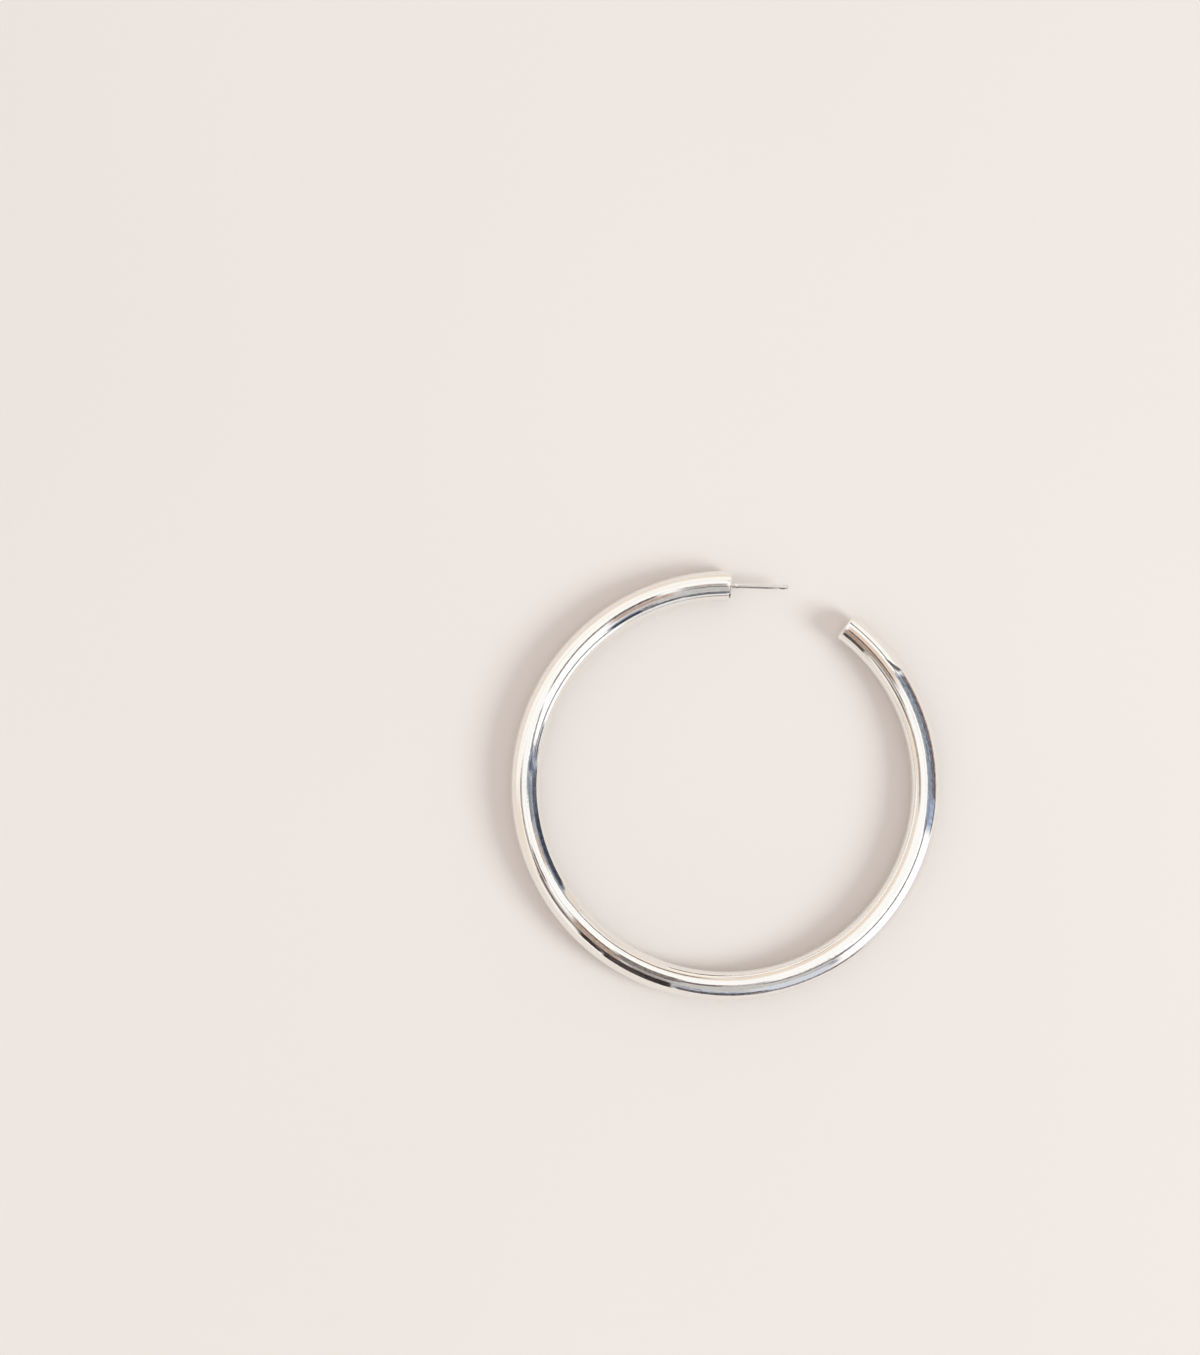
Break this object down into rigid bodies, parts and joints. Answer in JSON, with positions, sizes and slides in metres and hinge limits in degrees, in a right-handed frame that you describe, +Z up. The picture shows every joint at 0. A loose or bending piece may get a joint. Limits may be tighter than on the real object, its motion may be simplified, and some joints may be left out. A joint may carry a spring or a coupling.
{
  "type": "hoop earring",
  "caption": "Large open round-tube hoop earring in bright silver plate, with flat capped ends and a straight ear post across its gap, lying on its side.",
  "frame": {"origin": "centre of the ring, on the surface that the hoop lies on", "axes": "+Z up along the ring's axis, +Y towards the end that carries the post (the top of the hoop when worn), +X along the post, towards its tip"},
  "size_m": [0.073, 0.073, 0.005],
  "materials": {
    "silver_plate": "mirror-polished silver plate over brass, with faint polishing lines",
    "post_steel": "drawn and tumbled stainless steel wire, bright but greyer than the plate"
  },
  "bodies": {
    "root": {"hoop_tube": "silver_plate", "post_end_cap": "silver_plate", "free_end_cap": "silver_plate", "ear_post": "post_steel"}
  },
  "joints": []
}
